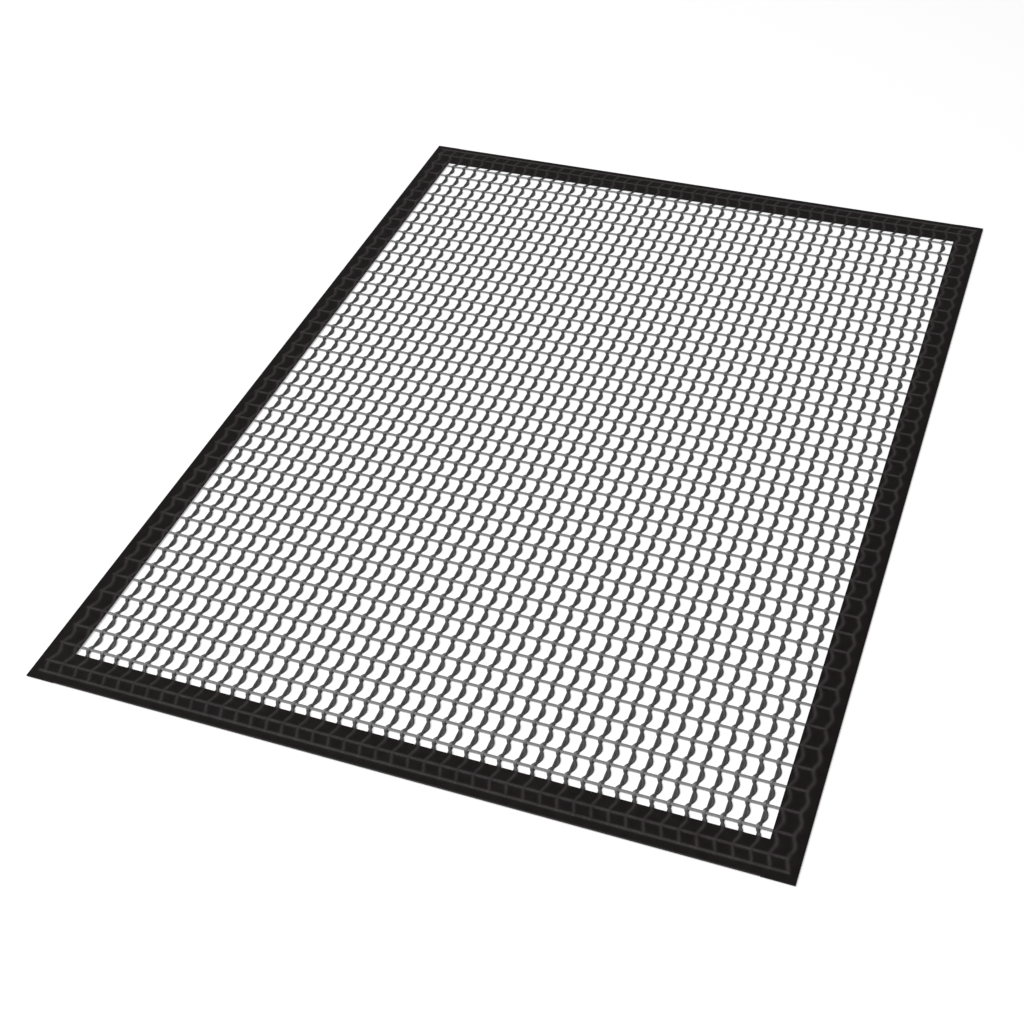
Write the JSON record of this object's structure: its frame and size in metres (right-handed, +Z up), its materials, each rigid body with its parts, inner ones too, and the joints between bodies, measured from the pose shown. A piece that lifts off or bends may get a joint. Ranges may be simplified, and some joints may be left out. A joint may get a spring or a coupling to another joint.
{
  "type": "open mesh mat",
  "caption": "Thin open-mesh mat: a leno-woven net of coated glass yarns, held along all four edges by a flat folded tape border that is heat-bonded over it.",
  "frame": {"origin": "middle of the underside of the border, where the mat lies on its support", "axes": "+X to the right across the mat, +Y along its length to the back edge, +Z up"},
  "size_m": [0.3, 0.42, 0.0012],
  "materials": {
    "warp_yarn": "dark grey coated glass yarn, satin",
    "weft_yarn": "mid grey coated glass yarn, satin",
    "border_tape": "black coated glass tape, satin, with the net embossed through it",
    "bond_film": "melted fluoropolymer film, hidden inside the border"
  },
  "bodies": {
    "root": {"ground_warp_yarns": "warp_yarn", "crossing_warp_yarns": "warp_yarn", "weft_yarns": "weft_yarn", "front_end_pick": "weft_yarn", "back_end_pick": "weft_yarn", "left_border_tape": "border_tape", "right_border_tape": "border_tape", "front_border_tape": "border_tape", "back_border_tape": "border_tape", "left_bond_film": "bond_film", "right_bond_film": "bond_film", "front_bond_film": "bond_film", "back_bond_film": "bond_film"}
  },
  "joints": []
}
